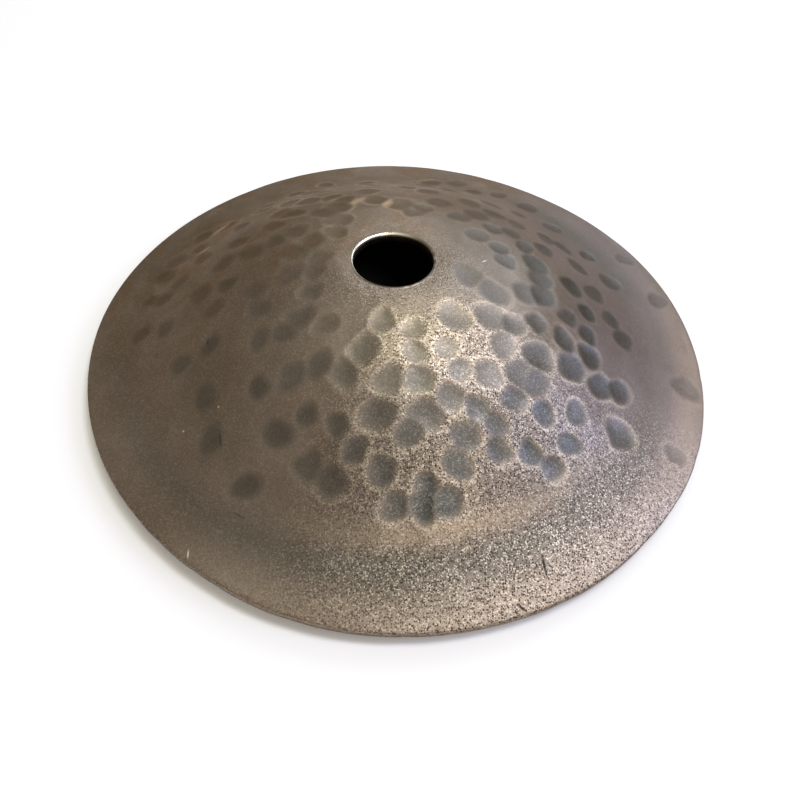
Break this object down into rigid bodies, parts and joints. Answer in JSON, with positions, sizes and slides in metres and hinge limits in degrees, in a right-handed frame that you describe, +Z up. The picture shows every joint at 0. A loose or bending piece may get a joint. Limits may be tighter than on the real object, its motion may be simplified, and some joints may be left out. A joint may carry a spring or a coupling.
{
  "type": "hammered bell gong",
  "caption": "Small hand-hammered bronze gong: shallow dome with a flat crown, central hanger hole, concave cove and flared hand-trimmed brim.",
  "frame": {"origin": "centre of the hanger hole, halfway through the sheet of the crown", "axes": "+Z up through the hanger hole, out of the convex, hammered face; +X towards the side where the trimmed rim reaches furthest from the hole"},
  "size_m": [0.1024, 0.1022, 0.0174],
  "materials": {
    "hammered_bronze": "hand-hammered bell bronze with a satin brown-grey oxide patina, brighter where the edges are worn"
  },
  "bodies": {
    "root": {"gong_disc": "hammered_bronze"}
  },
  "joints": []
}
